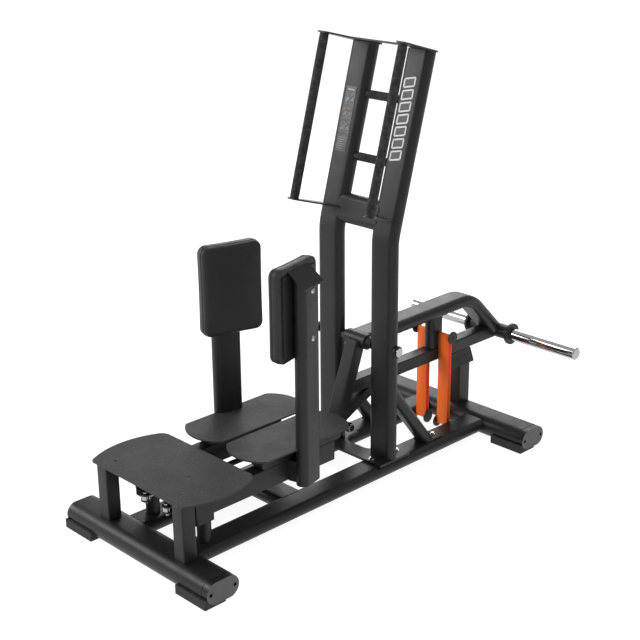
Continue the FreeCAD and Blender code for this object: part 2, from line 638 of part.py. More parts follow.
def make_arm_beam(name, side):
    """Long arm tube and the box that carries the foot plate."""
    x, z = side * (ARM_X0 + ARM_X1) / 2, (ARM_Z0 + ARM_Z1) / 2
    wide, high, cap_y = ARM_X1 - ARM_X0, ARM_Z1 - ARM_Z0, ARM_Y1 - 4
    beam = hollow(square_section, wide, high, 3.0, (x, 150, z), (x, cap_y, z), (1, 0, 0))
    cap = between(square_section, wide, high, (x, cap_y, z), (x, ARM_Y1, z), (1, 0, 0))
    save("arm_beam_" + name, solid_of(beam.fuse(cap)))
    x0, x1 = sorted((side * ARM_X0, side * ARM_X1))
    carrier = box(x0, x1, 368, 748, ARM_Z1, PLATE_Z - 6)
    ends = [e for e in carrier.Edges if abs(e.tangentAt(e.FirstParameter).x) > 0.99]
    save("foot_carrier_" + name, carrier.makeFillet(13.0, ends))


def make_arm_pivot(name, side):
    """Bearing block at the arm's front with the inner crank for the push rod."""
    x = side * RAIL_X
    half = (ARM_X1 - ARM_X0) / 2
    low = box(x - half, x + half, 74, 150, ARM_Z0 - 23, ARM_Z0)
    high = box(x - half, x + half, 74, 150, ARM_Z1 - 10, ARM_Z1)
    fronts = [e for e in low.Edges if abs(e.tangentAt(e.FirstParameter).z) > 0.99 and e.CenterOfMass.y < 80]
    low = low.makeFillet(12.0, fronts)
    web = box(x - half, x + half, 142, 150, ARM_Z0 - 23, ARM_Z1)
    barrel = Part.makeCylinder(23.0, ARM_Z1 - ARM_Z0, V(x, PIVOT_Y, ARM_Z0))
    block = low.fuse(high).fuse(web).fuse(barrel)
    for x0 in (x - half, x + half - 4):
        block = block.fuse(box(x0, x0 + 4, 78, 150, ARM_Z0, ARM_Z1))
    reach = V(side * CRANK_X - x, CRANK_Y - PIVOT_Y, 0)
    across = V(-reach.y, reach.x, 0).normalize() * 17
    for z0 in (CRANK_Z + 8, CRANK_Z - 13):
        a, b = V(x, PIVOT_Y, z0), V(side * CRANK_X, CRANK_Y, z0)
        outline = [a + across, b + across, b - across, a - across, a + across]
        arm = Part.Face(Part.makePolygon(outline)).extrude(V(0, 0, 5))
        block = block.fuse(arm).fuse(Part.makeCylinder(17.0, 5.0, b))
    block = block.removeSplitter()
    block = block.cut(Part.makeCylinder(AXLE_R + RUN_GAP, 200, V(x, PIVOT_Y, 100)))
    block = block.cut(crank_line(side, 6.0, -40, 40))
    save("arm_pivot_" + name, solid_of(block))


def make_foot_plate(name, side):
    """Long foot plate with bulged ends, a notch around the pad post and two flush screws."""
    plate = arc_sided_plate(side * 113.5, 104.5, 348.0, 736.0, 49.0, (20.0, 20.0), PLATE_Z - 6, 6.0, "y")
    plate = plate.cut(post_envelope(side, 200, 400))
    screws = []
    for y in (450.0, 650.0):
        plate = plate.cut(Part.makeCylinder(5.5, 20, V(side * 122, y, PLATE_Z - 10)))
        screws.append(Part.makeCylinder(5.3, 5.4, V(side * 122, y, PLATE_Z - 6)))
    save("foot_plate_" + name, solid_of(plate), *screws)


def make_pad_post(name, side):
    """Pad post, its mounting box on the arm, and the pad's backing with its top cover."""
    low, high = 172.0, 960.0
    roof_in, roof_out, fall = -31.0, 33.0, 54.0

    def roof(out):
        """Height of the sloped top of the post at a distance out from its axis."""
        return 947.0 - fall * (out - roof_in) / (roof_out - roof_in)

    post = post_envelope(side, low, high)
    span = toed(side, 0, 0, low + 4), toed(side, 0, 0, high)
    inner = between(stadium, 104.0, TUBE_THICK - 6, *span, (-side * TOE_SIN, TOE_COS, 0))
    cut = ((-40, roof(-40)), (40, roof(40)), (40, 1000), (-40, 1000), (-40, roof(-40)))
    sloped = [V(*toed(side, o, -80, z)) for o, z in cut]
    along = V(*toed(side, 0, 80, 0)) - V(*toed(side, 0, -80, 0))
    above = Part.Face(Part.makePolygon(sloped)).extrude(along)
    save("pad_post_" + name, solid_of(post.cut(inner).cut(above)))

    mount = toed_box(side, -75, 0, -42, 42, ARM_Z0, ARM_Z1)
    arm_x = sorted((side * 60, side * ARM_X1))
    mount = mount.cut(box(arm_x[0], arm_x[1], 300, 800, 100, 400)).cut(post)
    save("post_mount_" + name, solid_of(mount))

    back = PAD_W * 0.42
    board = toed_box(side, -31.3, -25, -back, back, PAD_Z - 140, PAD_Z + 140)
    board = board.cut(post)
    a, b = roof(roof_in), roof(roof_out)
    outline = ((roof_in, a), (roof_out, b), (roof_out, b + 5), (roof_in, a + 5), (roof_in, a))
    cover = [V(*toed(side, o, -62, z)) for o, z in outline]
    along = V(*toed(side, 0, 62, 0)) - V(*toed(side, 0, -62, 0))
    cover = Part.Face(Part.makePolygon(cover)).extrude(along)
    save("pad_mount_" + name, solid_of(board), solid_of(cover))


def make_pad(name, side):
    """Thigh pad as one plain rounded block."""
    d = PAD_T + 25 + 6.6
    face = rounded_rect(PAD_W, PAD_H, 26.0)
    along = (-side * TOE_SIN, TOE_COS, 0)
    out = (side * TOE_COS, TOE_SIN, 0)
    pad = prism(face, PAD_T, toed(side, -d, 0, PAD_Z), along, out)
    base = V(*toed(side, -d, 0, PAD_Z))
    rims = [e for e in pad.Edges if abs((e.CenterOfMass - base).dot(V(*out))) < 0.5]
    save("pad_" + name, pad.makeFillet(9.0, rims))


def make_arm_bolts(name, side):
    """Bright bolts of one arm: crank bolt and pad bolts."""
    bolt = crank_line(side, 6.0, -24, 20)
    bolts = [fused(bolt, crank_line(side, 10.0, 13.3, 20), crank_line(side, 9.0, -18, -13.3))]
    out = (side * TOE_COS, TOE_SIN, 0)
    for z in (877.0, 708.0):
        bolts.append(dome_bolt(11.0, toed(side, TUBE_THICK / 2, 4, z), out))
    save("arm_bolts_" + name, *bolts)


make_crossbars()
make_rails()
make_base_plate()
make_uprights()
make_handles()
make_placard()
make_step()
make_pivot_posts()
make_braces()
make_bolts()
make_stop()
make_axle()
make_lever()
make_horns()
make_straps()
make_rods()
for side_name, side_sign in SIDES:
    make_arm_beam(side_name, side_sign)
    make_arm_pivot(side_name, side_sign)
    make_foot_plate(side_name, side_sign)
    make_pad_post(side_name, side_sign)
    make_pad(side_name, side_sign)
    make_arm_bolts(side_name, side_sign)
print(len(os.listdir("parts")), "nodes")
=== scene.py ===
import json
import math

import bpy
from mathutils import Matrix, Vector


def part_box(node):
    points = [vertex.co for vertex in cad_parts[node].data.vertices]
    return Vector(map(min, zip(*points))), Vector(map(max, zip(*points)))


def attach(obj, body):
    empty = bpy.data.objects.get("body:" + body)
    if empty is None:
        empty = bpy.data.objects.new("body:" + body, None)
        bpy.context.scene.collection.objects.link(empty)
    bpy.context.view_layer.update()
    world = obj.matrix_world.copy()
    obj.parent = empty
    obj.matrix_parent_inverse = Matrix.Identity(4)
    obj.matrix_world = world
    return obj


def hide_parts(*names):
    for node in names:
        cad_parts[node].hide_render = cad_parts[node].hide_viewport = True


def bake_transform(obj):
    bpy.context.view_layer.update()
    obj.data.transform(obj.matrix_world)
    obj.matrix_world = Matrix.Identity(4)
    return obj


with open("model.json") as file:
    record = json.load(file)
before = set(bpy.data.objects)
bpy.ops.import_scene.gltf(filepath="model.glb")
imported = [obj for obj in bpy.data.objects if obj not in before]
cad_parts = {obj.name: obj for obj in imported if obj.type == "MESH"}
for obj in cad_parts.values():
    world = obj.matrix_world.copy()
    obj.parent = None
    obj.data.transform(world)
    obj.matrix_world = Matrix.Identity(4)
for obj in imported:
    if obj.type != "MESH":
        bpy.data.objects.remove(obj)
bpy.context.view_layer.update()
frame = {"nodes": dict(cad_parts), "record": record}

# Lengths are in metres, in the frame of the CAD model: +Y runs from the step to the weight horns.
LEAN = math.radians(15.5)       # backward lean of the uprights above their bend
BEND_Y, BEND_Z = 0.119, 0.936   # where the uprights' axes bend
UPRIGHT_HALF = 0.025            # from an upright's axis to its front face
TOE_IN = math.radians(14.0)     # the pads turn in towards the rear by this much
SIDES = (("left", -1.0), ("right", 1.0))
PAD_THICK = 0.050
PAD_CORNER = 0.030              # corner radius of a pad's outline
FRONT_BAR = (-0.889, 0.384)     # front crossbar: its place along Y, and half its length with the caps
REAR_BAR = (0.706, 0.395)
BAR_AXIS_Z = 0.045              # height of the crossbars' axes
FACE_TOLERANCE = 0.0005         # a polygon this close to a cap's end belongs to its outer face
AXLE_FACE = 0.2035              # the lever axle's end discs start at this distance from the middle


# ---- materials ----
def new_material(name, colour, roughness, metallic=0.0, specular=0.5):
    """Material with a Principled shader, and two functions: one adds a node with its inputs set or
    linked, the other links an output to one of the shader's inputs."""
    material = bpy.data.materials.new(name)
    material.use_nodes = True
    tree = material.node_tree
    shader = tree.nodes["Principled BSDF"]
    shader.inputs["Base Color"].default_value = (*colour, 1.0)
    shader.inputs["Roughness"].default_value = roughness
    shader.inputs["Metallic"].default_value = metallic
    shader.inputs["Specular IOR Level"].default_value = specular

    def add(kind, inputs=None, **settings):
        node = tree.nodes.new(kind)
        for key, value in settings.items():
            setattr(node, key, value)
        for key, value in (inputs or {}).items():
            if isinstance(value, bpy.types.NodeSocket):
                tree.links.new(value, node.inputs[key])
            else:
                node.inputs[key].default_value = value
        return node

    def link(output, key):
        tree.links.new(output, shader.inputs[key])

    return material, add, link


def noise(add, scale, detail=2.0, stretch=(1.0, 1.0, 1.0)):
    """Noise in the object's own coordinates, from 0 to 1, with features about 1/scale metres long."""
    where = add("ShaderNodeTexCoord").outputs["Object"]
    where = add("ShaderNodeMapping", {"Vector": where, "Scale": stretch}).outputs["Vector"]
    return add("ShaderNodeTexNoise", {"Vector": where, "Scale": scale, "Detail": detail}).outputs["Fac"]


def remap(add, value, low, high, new_low, new_high):
    """Linear map of a value from one range to another, clamped."""
    inputs = {"Value": value, "From Min": low, "From Max": high, "To Min": new_low, "To Max": new_high}
    return add("ShaderNodeMapRange", inputs).outputs["Result"]


MIX_FIRST, MIX_SECOND, MIX_RESULT = 6, 7, 2     # a Mix node's colour sockets, which share their names


def mixed(add, factor, first, second):
    """Blend of two colours."""
    node = add("ShaderNodeMix", {"Factor": factor}, data_type="RGBA")
    for key, colour in ((MIX_FIRST, first), (MIX_SECOND, second)):
        if isinstance(colour, bpy.types.NodeSocket):
            node.id_data.links.new(colour, node.inputs[key])
        else:
            node.inputs[key].default_value = (*colour, 1.0)
    return node.outputs[MIX_RESULT]


def edge_mask(add, radius):
    """1 where the surface turns sharply within a radius, 0 on open faces."""
    soft = add("ShaderNodeBevel", {"Radius": radius}, samples=4).outputs["Normal"]
    true = add("ShaderNodeNewGeometry").outputs["Normal"]
    dot = add("ShaderNodeVectorMath", {0: soft, 1: true}, operation="DOT_PRODUCT").outputs["Value"]
    return remap(add, dot, 0.80, 0.995, 1.0, 0.0)


def bumped(add, height, strength, distance, radius=None):
    """Normal from a height, on top of softly rounded edges where a radius is given."""
    inputs = {"Height": height, "Strength": strength, "Distance": distance}
    if radius:
        inputs["Normal"] = add("ShaderNodeBevel", {"Radius": radius}, samples=4).outputs["Normal"]
    return add("ShaderNodeBump", inputs).outputs["Normal"]


def powder_coat(name, dark, light, roughness, grain=1100.0, depth=0.0003, worn=0.06):
    """Textured powder coat: fine orange peel with light specks, and edges rubbed lighter."""
    material, add, link = new_material(name, dark, roughness, specular=0.26)
    cloud = noise(add, 5.0, 2.0)
    peel = noise(add, grain, 2.0)
    colour = mixed(add, remap(add, cloud, 0.3, 0.7, 0.0, 1.0), dark, light)
    speck = remap(add, noise(add, grain * 0.45, 1.0), 0.58, 0.72, 0.0, 0.5)
    colour = mixed(add, speck, colour, tuple(c * 2.6 for c in light))
    patches = remap(add, noise(add, 60.0, 3.0), 0.42, 0.62, 0.15, 0.8)
    rub = add("ShaderNodeMath", {0: edge_mask(add, 0.0016), 1: patches}, operation="MULTIPLY")
    colour = mixed(add, rub.outputs["Value"], colour, (worn, worn, worn))
    link(colour, "Base Color")
    link(remap(add, noise(add, 14.0, 2.0), 0.3, 0.7, roughness - 0.03, roughness + 0.04), "Roughness")
    link(bumped(add, peel, 0.55, depth, 0.0014), "Normal")
    return material


def moulded(name, dark, light, roughness, grain=700.0, depth=0.0002):
    """Moulded plastic or rubber: fine spark-eroded grain and slight colour drift."""
    material, add, link = new_material(name, dark, roughness, specular=0.3)
    colour = mixed(add, remap(add, noise(add, 30.0, 3.0), 0.3, 0.7, 0.0, 1.0), dark, light)
    link(colour, "Base Color")
    link(remap(add, noise(add, 55.0, 2.0), 0.3, 0.7, roughness - 0.06, roughness + 0.08), "Roughness")
    link(bumped(add, noise(add, grain, 2.0), 0.4, depth, 0.0012), "Normal")
    return material


def vinyl(name):
    """Black upholstery vinyl: pebbled leather grain with soft creases and a low sheen."""
    material, add, link = new_material(name, (0.016, 0.016, 0.017), 0.46, specular=0.32)
    where = add("ShaderNodeTexCoord").outputs["Object"]
    pebble = add("ShaderNodeTexVoronoi", {"Vector": where, "Scale": 420.0}, feature="DISTANCE_TO_EDGE")
    height = remap(add, pebble.outputs["Distance"], 0.0, 0.12, 0.0, 1.0)
    crease = noise(add, 34.0, 4.0)
    total = add("ShaderNodeMath", {0: height, 1: crease}, operation="ADD").outputs["Value"]
    colour = mixed(add, height, (0.008, 0.008, 0.009), (0.018, 0.018, 0.019))
    link(colour, "Base Color")
    link(remap(add, noise(add, 18.0, 3.0), 0.3, 0.7, 0.38, 0.54), "Roughness")
    link(bumped(add, total, 0.35, 0.0005), "Normal")
    return material


def chrome(name, lathe):
    """Bright chrome: fine turning marks along X if lathe is set, faint smudges."""
    material, add, link = new_material(name, (0.37, 0.38, 0.40), 0.10, metallic=1.0)
    smudge = noise(add, 22.0, 4.0)
    link(remap(add, smudge, 0.35, 0.75, 0.05, 0.17), "Roughness")
    dull = remap(add, smudge, 0.4, 0.8, 0.0, 1.0)
    link(mixed(add, dull, (0.39, 0.40, 0.42), (0.33, 0.34, 0.36)), "Base Color")
    stretch = (60.0, 0.6, 0.6) if lathe else (1.0, 1.0, 1.0)
    link(bumped(add, noise(add, 30.0, 2.0, stretch), 0.02, 0.0002, 0.0008), "Normal")
    return material


def band_rubber(name):
    """Orange layered elastic: faint lengthwise ply lines, and painted shade that tints its X-facing edges a
    darker red.
    """
    material, add, link = new_material(name, (0.74, 0.19, 0.035), 0.52, specular=0.25)
    ply = noise(add, 120.0, 2.0, (6.0, 6.0, 0.05))
    # Painted shade: the faces turned along X, the band's edges, get a darker red than its front and back.
    normal = add("ShaderNodeTexCoord").outputs["Normal"]
    sideways = add("ShaderNodeSeparateXYZ", {"Vector": normal}).outputs["X"]
    sideways = add("ShaderNodeMath", {0: sideways}, operation="ABSOLUTE").outputs["Value"]
    painted_side_shade = remap(add, sideways, 0.5, 0.85, 0.0, 1.0)
    colour = mixed(add, remap(add, ply, 0.3, 0.7, 0.0, 1.0), (0.80, 0.125, 0.012), (0.88, 0.160, 0.022))
    link(mixed(add, painted_side_shade, colour, (0.84, 0.070, 0.018)), "Base Color")
    link(remap(add, ply, 0.3, 0.7, 0.46, 0.58), "Roughness")
    link(bumped(add, ply, 0.3, 0.0002), "Normal")
    return material


MATERIALS = {
    "frame_paint": powder_coat("powder_black", (0.0115, 0.0115, 0.0118), (0.0138, 0.0138, 0.0141), 0.40),
    "tread_paint": powder_coat("tread_coat", (0.0270, 0.0270, 0.0275), (0.0350, 0.0350, 0.0355), 0.60,
                               grain=420.0, depth=0.0008, worn=0.10),
    "grip_black": powder_coat("knurl_coat", (0.010, 0.010, 0.011), (0.020, 0.020, 0.021), 0.55,
                              grain=900.0, depth=0.0006, worn=0.10),
    "pad_vinyl": vinyl("pad_vinyl"),
    "chrome": chrome("bright_fastener", False),
    "strap_orange": band_rubber("band_orange"),
    "end_cap_grey": moulded("cap_plastic", (0.075, 0.075, 0.077), (0.090, 0.090, 0.092), 0.50),
    "rubber": moulded("foot_rubber", (0.020, 0.020, 0.021), (0.028, 0.028, 0.029), 0.72, 500.0, 0.0004),
    "screw_black": moulded("black_oxide_and_hole_shade", (0.006, 0.006, 0.007), (0.011, 0.011, 0.012), 0.38, 900.0, 0.0001),
    "placard_grey": moulded("placard_sheet", (0.055, 0.055, 0.057), (0.066, 0.066, 0.068), 0.42,
                            900.0, 0.0001),
}
HORN_CHROME = chrome("turned_chrome", True)
PRINT_WHITE = moulded("print_white", (0.60, 0.60, 0.60), (0.68, 0.68, 0.68), 0.45, 1200.0, 0.0001)
PRINT_DARK = moulded("print_dark", (0.060, 0.060, 0.062), (0.072, 0.072, 0.074), 0.45, 1200.0, 0.0001)
PRINT_GREY = moulded("print_grey", (0.26, 0.26, 0.26), (0.31, 0.31, 0.31), 0.45, 1200.0, 0.0001)
PRINT_ORANGE = moulded("print_orange", (0.62, 0.16, 0.03), (0.70, 0.20, 0.05), 0.45, 1200.0, 0.0001)


# ---- carried-over CAD nodes ----
SMOOTH_TO = math.radians(30)
WELD = 1e-5


def smoothing_group():
    """Geometry nodes that weld the seams between faces and smooth every edge flatter than SMOOTH_TO."""
    group = bpy.data.node_groups.new("smooth_by_angle", "GeometryNodeTree")
    group.interface.new_socket("Geometry", in_out="INPUT", socket_type="NodeSocketGeometry")
    group.interface.new_socket("Geometry", in_out="OUTPUT", socket_type="NodeSocketGeometry")
    new, join = group.nodes.new, group.links.new
    merge = new("GeometryNodeMergeByDistance")
    faces, edges = new("GeometryNodeSetShadeSmooth"), new("GeometryNodeSetShadeSmooth")
    merge.inputs["Distance"].default_value = WELD
    faces.domain, edges.domain = "FACE", "EDGE"
    edges.inputs["Shade Smooth"].default_value = False
    sharp = new("FunctionNodeCompare")
    sharp.data_type, sharp.operation = "FLOAT", "GREATER_THAN"
    sharp.inputs[1].default_value = SMOOTH_TO
    join(new("GeometryNodeInputMeshEdgeAngle").outputs["Unsigned Angle"], sharp.inputs[0])
    join(new("NodeGroupInput").outputs[0], merge.inputs["Geometry"])
    join(merge.outputs["Geometry"], faces.inputs["Geometry"])
    join(faces.outputs["Geometry"], edges.inputs["Geometry"])
    join(sharp.outputs["Result"], edges.inputs["Selection"])
    join(edges.outputs["Geometry"], new("NodeGroupOutput").inputs[0])
    return group


SMOOTH = smoothing_group()
for part in frame["record"]["subparts"]:
    node = frame["nodes"][part["node"]]
    material = HORN_CHROME if part["node"] == "weight_horns" else MATERIALS[part["material_slot"]]
    node.data.materials.clear()
    node.data.materials.append(material)
    node.modifiers.new("smooth", "NODES").node_group = SMOOTH


def repaint(node_name, material, test):
    """Give a second material to the polygons of a CAD node whose centre passes a test."""
    mesh = frame["nodes"][node_name].data
    mesh.materials.append(material)
    for polygon in mesh.polygons:
        if test(polygon.center):
            polygon.material_index = 1


def off_cap_end(centre):
    """True on the sides and in the screw holes of an end cap, false on its outer face. The true polygons get
    the black screw material, as painted shade in the holes.
    """
    _, half = FRONT_BAR if centre.y < 0 else REAR_BAR
    return abs(centre.x) < half - FACE_TOLERANCE


# Painted shade: the end caps' screw holes and sides are painted black instead of the grey plastic.
repaint("end_caps", MATERIALS["screw_black"], off_cap_end)
repaint("lever_axle", MATERIALS["chrome"], lambda centre: abs(centre.x) > AXLE_FACE)


# ---- piece building ----
def make_piece(name, vertices, faces, material, body, smooth=True):
    """Mesh object from points in the CAD model's frame. It rides on a CAD body, if one is named."""
    mesh = bpy.data.meshes.new(name)
    mesh.from_pydata([tuple(v) for v in vertices], [], faces)
    mesh.validate()
    mesh.update()
    mesh.materials.append(material)
    mesh.shade_smooth() if smooth else mesh.shade_flat()
    piece = bpy.data.objects.new(name, mesh)
    bpy.context.scene.collection.objects.link(piece)
    if body:
        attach(piece, body)
    return piece


def loft(rings, start=0, close_ends=True):
    """Faces that join equal rings of points in turn, with a flat cap at each end if asked for."""
    count = len(rings[0])
    faces = []
    for k in range(len(rings) - 1):
        for i in range(count):
            j = (i + 1) % count
            a, b = start + k * count, start + (k + 1) * count
            faces.append((a + i, a + j, b + j, b + i))
    if close_ends:
        last = start + (len(rings) - 1) * count
        faces.append(tuple(start + i for i in reversed(range(count))))
        faces.append(tuple(last + i for i in range(count)))
    return faces


def direction(degrees):
    """Unit vector in the plane."""
    a = math.radians(degrees)
    return Vector((math.cos(a), math.sin(a)))


def rounded_outline(half_w, half_h, radius, pull, straight=12, turn=8):
    """Points round a rounded rectangle; its sides bow in by pull between the corners."""
    points = []
    corners = ((1, -1, -90), (1, 1, 0), (-1, 1, 90), (-1, -1, 180))
    for k, (sx, sy, first) in enumerate(corners):
        centre = Vector((sx * (half_w - radius), sy * (half_h - radius)))
        points += [centre + radius * direction(first + 90 * i / turn) for i in range(turn + 1)]
        nx, ny, _ = corners[(k + 1) % 4]
        out = direction(first + 90)
        begin = centre + radius * out
        end = Vector((nx * (half_w - radius), ny * (half_h - radius))) + radius * out
        for i in range(1, straight):
            t = i / straight
            points.append(begin.lerp(end, t) - pull * math.sin(math.pi * t) * out)
    return points


# ---- pads ----
# Section of a pad from its back edge to its face: inset from the outline, and height above the back.
PAD_SECTION = ((0.0060, 0.0000), (0.0028, 0.0003), (0.0008, 0.0020), (0.0004, 0.0042), (0.0024, 0.0056),
               (0.0004, 0.0070), (-0.0002, 0.0110), (-0.0008, 0.0180), (-0.0004, 0.0250), (0.0004, 0.0292),
               (0.0030, 0.0308), (0.0034, 0.0316), (0.0012, 0.0332), (0.0012, 0.0370), (0.0030, 0.0420),
               (0.0066, 0.0460), (0.0120, 0.0488), (0.0180, 0.0500))
PAD_CROWN = 0.0045              # the face's middle stands this far above its edge
PAD_LEAST_CORNER = 0.012
PAD_WAIST = 0.0014              # the outline's sides bow in by this much
CROWN_STEPS = 12
CROWN_POWER = 2.2


def pad_frame(name, side):
    """Centre, width and height of a pad, and its axes outward from the user and along the floor."""
    low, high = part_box("pad_" + name)
    wide = ((high.y - low.y) - PAD_THICK * math.sin(TOE_IN)) / math.cos(TOE_IN)
    out = Vector((side * math.cos(TOE_IN), math.sin(TOE_IN), 0))
    along = Vector((-side * math.sin(TOE_IN), math.cos(TOE_IN), 0))
    return (low + high) / 2, wide, high.z - low.z, out, along


def add_pad(name, side):
    """Upholstered pad: back lip, boxed side wall, seam, rounded front edge and crowned face."""
    centre, wide, high, out, along = pad_frame(name, side)
    back = centre + out * PAD_THICK / 2

    def place(point, height):
        return back + along * point.x * side + Vector((0, 0, point.y)) - out * height

    rings = []
    for inset, height in PAD_SECTION:
        corner = max(PAD_CORNER - inset, PAD_LEAST_CORNER)
        outline = rounded_outline(wide / 2 - inset, high / 2 - inset, corner, PAD_WAIST)
        rings.append([place(p, height) for p in outline])
    _, edge = PAD_SECTION[-1]
    for k in range(1, CROWN_STEPS):
        shrink = 1 - k / CROWN_STEPS
        height = edge + PAD_CROWN * (1 - shrink ** CROWN_POWER)
        rings.append([place(p * shrink, height) for p in outline])
    vertices = [v for ring in rings for v in ring]
    faces = loft(rings)
    pad = make_piece("cushion_" + name, vertices, faces, MATERIALS["pad_vinyl"], name + "_arm")
    pad.modifiers.new("subdivision", "SUBSURF").levels = 1
    pad.modifiers["subdivision"].render_levels = 1
    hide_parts("pad_" + name)


for side_name, side_sign in SIDES:
    add_pad(side_name, side_sign)


# ---- elastic bands ----
BAND_THICK = 0.0041
BAND_BEVEL = 0.0007
PLY_GROOVE, PLY_DEPTH = 0.0003, 0.0005      # half width and depth of the groove between the two plies
BAND_STEPS = 28                 # points along each straight side


def add_band(name):
    """Layered loop that stretches between the peg on the lever and the peg on the rail."""
    low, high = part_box("strap_" + name)
    half = (high.y - low.y) / 2
    middle_y = (low.y + high.y) / 2
    ends = (high.z - half, low.z + half)

    def loop(radius):
        """Stadium in the YZ plane with points all along its straight sides."""
        points = [radius * direction(a) + Vector((0, ends[0])) for a in range(0, 180, 10)]
        points += [(-radius, ends[0] + (ends[1] - ends[0]) * i / BAND_STEPS) for i in range(BAND_STEPS)]
        points += [radius * direction(a) + Vector((0, ends[1])) for a in range(180, 360, 10)]
        points += [(radius, ends[1] + (ends[0] - ends[1]) * i / BAND_STEPS) for i in range(BAND_STEPS)]
        return points

    # Section of the band as (radius, x), round its outer face, one edge, its inner face and the other edge.
    x0, x1 = low.x, high.x
    inner, ply = half - BAND_THICK, half - BAND_THICK / 2
    section = ((half, x0 + BAND_BEVEL), (half, x1 - BAND_BEVEL),
               (half - BAND_BEVEL, x1), (ply + PLY_GROOVE, x1), (ply, x1 - PLY_DEPTH),
               (ply - PLY_GROOVE, x1), (inner + BAND_BEVEL, x1),
               (inner, x1 - BAND_BEVEL), (inner, x0 + BAND_BEVEL),
               (inner + BAND_BEVEL, x0), (ply - PLY_GROOVE, x0), (ply, x0 + PLY_DEPTH),
               (ply + PLY_GROOVE, x0), (half - BAND_BEVEL, x0))
    rings = [[Vector((x, middle_y + y, z)) for y, z in loop(radius)] for radius, x in section]
    vertices = [v for ring in rings for v in ring]
    faces = loft(rings + [rings[0]], close_ends=False)
    faces = [tuple(i % len(vertices) for i in face) for face in faces]
    band = make_piece("band_" + name, vertices, faces, MATERIALS["strap_orange"], None)
    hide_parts("strap_" + name)
    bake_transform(band)


for side_name, _ in SIDES:
    add_band(side_name)


# ---- knurled grips ----
KNURL_POINTS = 4                # mesh points across a cell of the knurl, each way
KNURL_MARGIN = 0.012            # length of the plain part at each end
KNURL_FLAT = 0.45               # share of a cell that stays at the full radius
PLAIN_RELIEF = 0.0006
HANDLE_X, HANDLE_OUT, HANDLE_R = 0.189, 0.165, 0.017
HANDLE_SPAN = (0.076, 0.673)    # along the lean, from the uprights' bend
CROSS_HALF, CROSS_R = 0.0777, 0.016
CROSS_PLACES = (0.266, 0.492)


def knurled_bar(start, end, radius, cells=22, pitch=0.0046, depth=0.0011):
    """Rings of points of a round bar cut with a diamond knurl, plain and thinner at both ends."""
    axis = (end - start).normalized()
    across = axis.cross(Vector((1, 0, 0))) if abs(axis.x) < 0.9 else axis.cross(Vector((0, 0, 1)))
    across.normalize()
    other = axis.cross(across)
    length = (end - start).length
    rows, turns = round(length / pitch * KNURL_POINTS), cells * KNURL_POINTS
    rings = []
    for k in range(rows + 1):
        s = length * k / rows
        plain = min(s, length - s) < KNURL_MARGIN
        ring = []
        for i in range(turns):
            u, v = i / KNURL_POINTS, s / pitch
            painted_side_shade = max(abs(((u + v) % 1) - 0.5), abs(((u - v) % 1) - 0.5)) * 2
            groove = depth * max(0.0, (painted_side_shade - KNURL_FLAT) / (1 - KNURL_FLAT))
            r = radius - (PLAIN_RELIEF if plain else groove)
            a = 2 * math.pi * i / turns
            ring.append(start + axis * s + (across * math.cos(a) + other * math.sin(a)) * r)
        rings.append(ring)
    return rings


def add_knurled(name, node, bars):
    """One piece for all the knurled bars of a CAD node."""
    vertices, faces = [], []
    for start, end, radius in bars:
        rings = knurled_bar(start, end, radius)
        faces += loft(rings, start=len(vertices))
        vertices += [v for ring in rings for v in ring]
    piece = make_piece(name, vertices, faces, MATERIALS["grip_black"], "frame", smooth=False)
    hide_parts(node)


def leaned(x, along, out):
    """Point at a distance along the uprights' lean from their bend, and out in front of their axis."""
    return Vector((x, BEND_Y + along * math.sin(LEAN) - out * math.cos(LEAN),
                   BEND_Z + along * math.cos(LEAN) + out * math.sin(LEAN)))


add_knurled("knurled_handles", "handle_grips",
            [(*(leaned(side * HANDLE_X, along, HANDLE_OUT) for along in HANDLE_SPAN), HANDLE_R)
             for _, side in SIDES])
add_knurled("knurled_cross_grips", "cross_grips",
            [(leaned(-CROSS_HALF, along, 0), leaned(CROSS_HALF, along, 0), CROSS_R)
             for along in CROSS_PLACES])


# ---- prints on the uprights ----
PRINT_THICK = 0.0003
OUTLINE_LIFT = 0.0002           # the bars' outlines above their fills
PLACARD_LIFT = 0.0008           # the placard's face above the upright's
BAR_LINE = 0.0058               # widths of the printed lines
HEADING_LINE, FRAME_LINE, FIGURE_LINE, DOT_LINE, RULED_LINE = 0.006, 0.0012, 0.003, 0.004, 0.0020


def print_sheet(name, shapes, out, material):
    """Thin raised print on an upright's leaning front face, from convex outlines of (x, along) points."""
    vertices, faces = [], []
    for outline in shapes:
        base, count = len(vertices), len(outline)
        vertices += [leaned(x, s, out) for x, s in outline]
        vertices += [leaned(x, s, out + PRINT_THICK) for x, s in outline]
        faces.append(tuple(base + count + i for i in range(count)))
        faces.append(tuple(base + i for i in reversed(range(count))))
        faces += [(base + i, base + (i + 1) % count, base + count + (i + 1) % count, base + count + i)
                  for i in range(count)]
    make_piece(name, vertices, faces, material, "frame", smooth=False)


def bar_between(a, b, width):
    """Rectangle of a given width around the line between two points."""
    a, b = Vector(a), Vector(b)
    side = (b - a).normalized()
    side = Vector((-side.y, side.x)) * width / 2
    return [tuple(p) for p in (a - side, b - side, b + side, a + side)]


def outlined(points, width):
    """Four bars along the sides of a quadrilateral."""
    return [bar_between(points[k], points[(k + 1) % 4], width) for k in range(4)]


def add_slanted_bars(first=0.277, pitch=0.043, left=0.105, right=0.152, high=0.030, rise=0.010):
    """Row of seven slanted outlined bars up the right upright."""
    bars, fills = [], []
    for k in range(7):
        s = first + pitch * k
        quad = [(left, s), (right, s + rise), (right, s + rise + high), (left, s + high)]
        fills.append(quad)
        bars += outlined(quad, BAR_LINE)
    print_sheet("slanted_bars_fill", fills, UPRIGHT_HALF, PRINT_DARK)
    print_sheet("slanted_bars_outline", bars, UPRIGHT_HALF + OUTLINE_LIFT, PRINT_WHITE)


